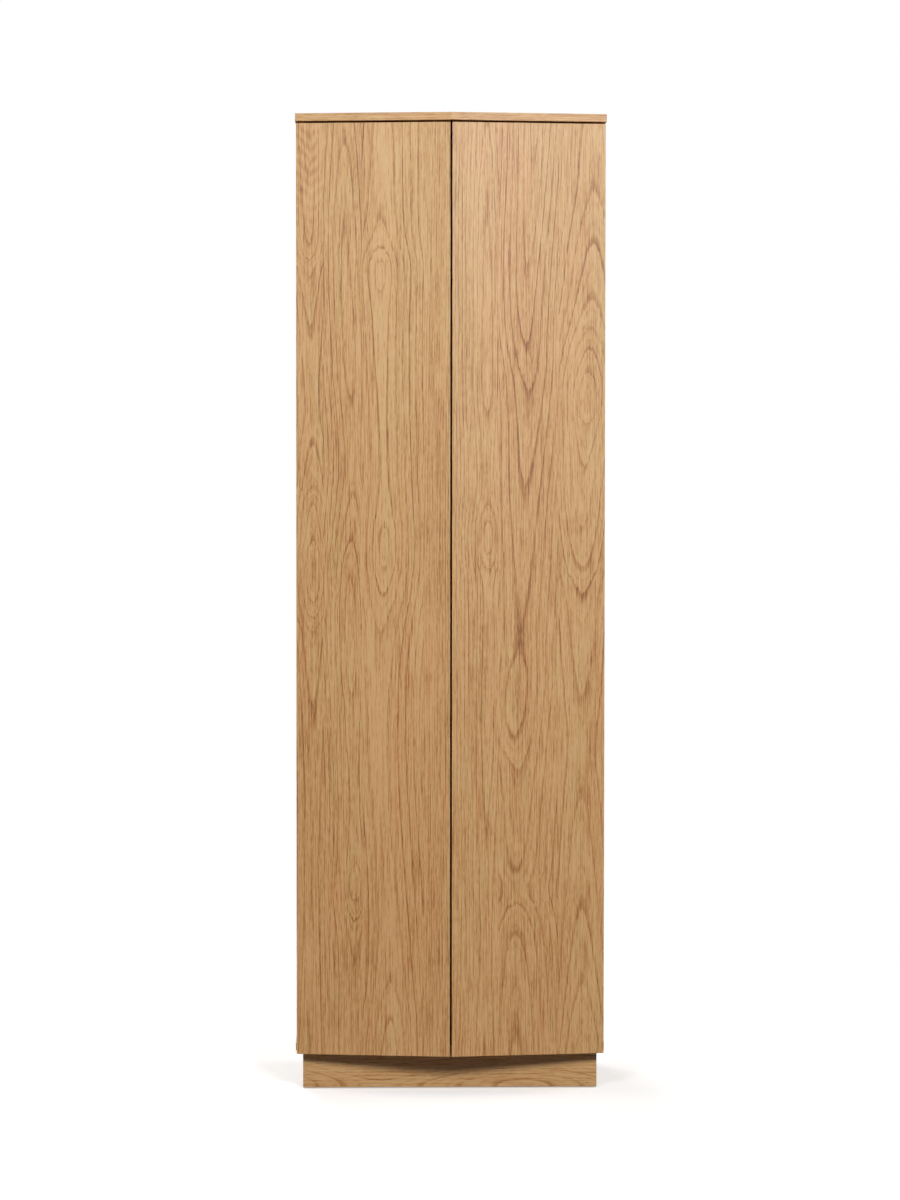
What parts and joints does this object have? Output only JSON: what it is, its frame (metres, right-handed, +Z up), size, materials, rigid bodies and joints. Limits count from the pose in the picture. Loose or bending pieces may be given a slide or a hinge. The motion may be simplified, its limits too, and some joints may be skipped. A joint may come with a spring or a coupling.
{
  "type": "pantry cabinet",
  "caption": "Tall narrow oak pantry cabinet with a shallow V front, handleless push-to-open double doors, inner shelves and a recessed plinth.",
  "frame": {"origin": "on the floor, under the centre of the cabinet's outer box", "axes": "+Z up; -Y out through the doors, so +Y towards the wall; +X to the right of someone who faces the doors"},
  "size_m": [0.64, 0.45, 2.015],
  "materials": {
    "oak_veneer": "matt lacquered oak veneer, grain upright on doors and sides",
    "oak_veneer_inside": "matt lacquered oak veneer, grain across the shelves",
    "back_veneer": "thin veneered fibreboard, matt",
    "nickelled_steel": "nickel plated, satin",
    "grey_plastic": "moulded, fine matt",
    "natural_plastic": "moulded, translucent white, matt"
  },
  "bodies": {
    "carcass": {"top_panel": "oak_veneer", "bottom_panel": "oak_veneer", "side_panel_left": "oak_veneer", "side_panel_right": "oak_veneer", "plinth_front": "oak_veneer", "plinth_rear": "oak_veneer", "plinth_left": "oak_veneer", "plinth_right": "oak_veneer", "fixed_shelf": "oak_veneer_inside", "adjustable_shelf_1": "oak_veneer_inside", "adjustable_shelf_2": "oak_veneer_inside", "adjustable_shelf_3": "oak_veneer_inside", "adjustable_shelf_4": "oak_veneer_inside", "back_panel_lower": "back_veneer", "back_panel_upper": "back_veneer", "back_joining_strip": "natural_plastic", "glide_front_left": "natural_plastic", "glide_front_right": "natural_plastic", "glide_rear_left": "natural_plastic", "glide_rear_right": "natural_plastic", "wall_bracket_left": "nickelled_steel", "hinge_plate_left_1": "nickelled_steel", "hinge_arm_left_1": "nickelled_steel", "hinge_plate_left_2": "nickelled_steel", "hinge_arm_left_2": "nickelled_steel", "hinge_plate_left_3": "nickelled_steel", "hinge_arm_left_3": "nickelled_steel", "hinge_plate_left_4": "nickelled_steel", "hinge_arm_left_4": "nickelled_steel", "latch_housing_left": "grey_plastic", "wall_bracket_right": "nickelled_steel", "hinge_plate_right_1": "nickelled_steel", "hinge_arm_right_1": "nickelled_steel", "hinge_plate_right_2": "nickelled_steel", "hinge_arm_right_2": "nickelled_steel", "hinge_plate_right_3": "nickelled_steel", "hinge_arm_right_3": "nickelled_steel", "hinge_plate_right_4": "nickelled_steel", "hinge_arm_right_4": "nickelled_steel", "latch_housing_right": "grey_plastic"},
    "door_left": {"door_left": "oak_veneer", "hinge_cup_left_1": "nickelled_steel", "hinge_cup_left_2": "nickelled_steel", "hinge_cup_left_3": "nickelled_steel", "hinge_cup_left_4": "nickelled_steel", "strike_plate_left": "nickelled_steel"},
    "latch_plunger_left": {"latch_plunger_left": "natural_plastic"},
    "door_right": {"door_right": "oak_veneer", "hinge_cup_right_1": "nickelled_steel", "hinge_cup_right_2": "nickelled_steel", "hinge_cup_right_3": "nickelled_steel", "hinge_cup_right_4": "nickelled_steel", "strike_plate_right": "nickelled_steel"},
    "latch_plunger_right": {"latch_plunger_right": "natural_plastic"}
  },
  "joints": [
    {"name": "door_left_hinge", "type": "hinge", "parent": "carcass", "child": "door_left", "pos_m": [-0.30939, -0.17063, 1.03575], "axis": [0, 0, -1], "range_deg": [0, 95]},
    {"name": "door_right_hinge", "type": "hinge", "parent": "carcass", "child": "door_right", "pos_m": [0.30939, -0.17063, 1.03575], "axis": [0, 0, 1], "range_deg": [0, 95]},
    {"name": "latch_plunger_left_slide", "type": "slide", "parent": "carcass", "child": "latch_plunger_left", "axis": [-0.1393, -0.9903, 0], "range_m": [0, 0.012]},
    {"name": "latch_plunger_right_slide", "type": "slide", "parent": "carcass", "child": "latch_plunger_right", "axis": [0.1393, -0.9903, 0], "range_m": [0, 0.012]}
  ],
  "couplings": [
    {"joint": "latch_plunger_left_slide", "follows": "door_left_hinge", "m_per_rad": 0.0072},
    {"joint": "latch_plunger_right_slide", "follows": "door_right_hinge", "m_per_rad": 0.0072}
  ]
}
